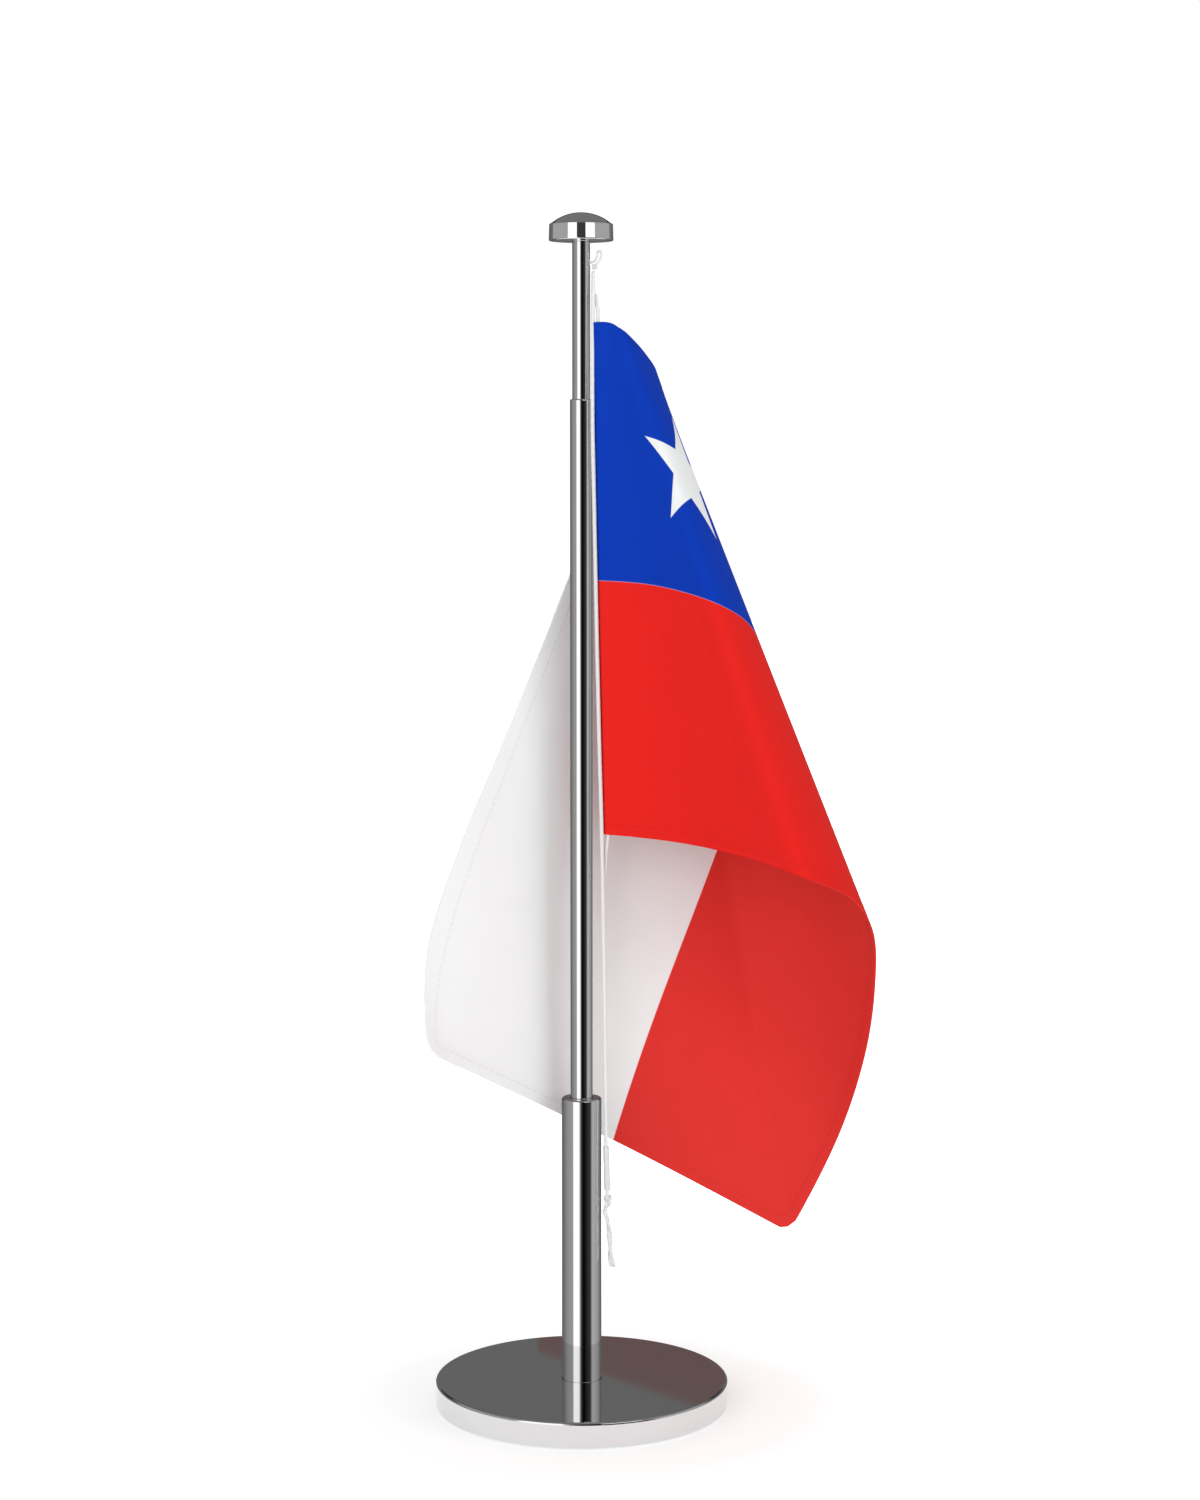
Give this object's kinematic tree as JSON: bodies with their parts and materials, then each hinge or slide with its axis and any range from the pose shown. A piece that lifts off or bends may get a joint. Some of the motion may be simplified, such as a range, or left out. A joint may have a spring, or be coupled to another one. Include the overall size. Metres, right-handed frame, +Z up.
{
  "type": "desk flag stand",
  "caption": "Table flag on a halyard cord, hung from a telescopic pole of slim tubes with a mushroom cap and a heavy round foot.",
  "frame": {"origin": "centre of the foot pad's underside, on the desk and on the pole's axis", "axes": "+Z up along the pole, +X to the side that the flag hangs on, -Y to the front"},
  "size_m": [0.1347, 0.0984, 0.3556],
  "materials": {
    "chrome": "mirror-polished chrome plate",
    "zinc_steel": "zinc-plated steel",
    "brass": "bare turned brass",
    "black_plastic": "moulded black acetal",
    "rubber": "matt",
    "felt_pad": "soft foam with a fine grain",
    "cord_white": "fine braided cord",
    "sleeve_clear": "thin milky tube",
    "flag_print": "printed woven polyester"
  },
  "bodies": {
    "foot": {"desk_pad": "felt_pad", "base_disc": "chrome", "base_screw": "zinc_steel", "lock_washer": "zinc_steel", "flat_washer": "zinc_steel", "tube_insert": "zinc_steel", "lower_tube": "chrome", "stop_buffer": "rubber", "guide_bush": "black_plastic"},
    "middle_collar": {"middle_spring": "brass"},
    "middle_pole": {"middle_plug": "black_plastic", "middle_tube": "chrome"},
    "top_collar": {"top_spring": "brass"},
    "top_pole": {"top_plug": "brass", "top_tube": "chrome", "cap_insert": "zinc_steel", "cap_stud": "zinc_steel", "cap_body": "chrome", "top_knot": "cord_white", "halyard_cord": "cord_white", "hoist_rope": "cord_white", "flag_cloth": "flag_print", "cord_sleeve": "sleeve_clear", "bottom_knot": "cord_white", "cord_tail": "cord_white"}
  },
  "joints": [
    {"name": "middle_slide", "type": "slide", "parent": "foot", "child": "middle_collar", "axis": [0, 0, 1], "range_m": [0, 0.043]},
    {"name": "middle_turn", "type": "hinge", "parent": "middle_collar", "child": "middle_pole", "pos_m": [0, 0, 0.0305], "axis": [0, 0, 1], "continuous": true},
    {"name": "top_slide", "type": "slide", "parent": "middle_pole", "child": "top_collar", "axis": [0, 0, 1], "range_m": [-0.03, 0.2]},
    {"name": "top_turn", "type": "hinge", "parent": "top_collar", "child": "top_pole", "pos_m": [0, 0, 0.0807], "axis": [0, 0, 1], "continuous": true}
  ]
}
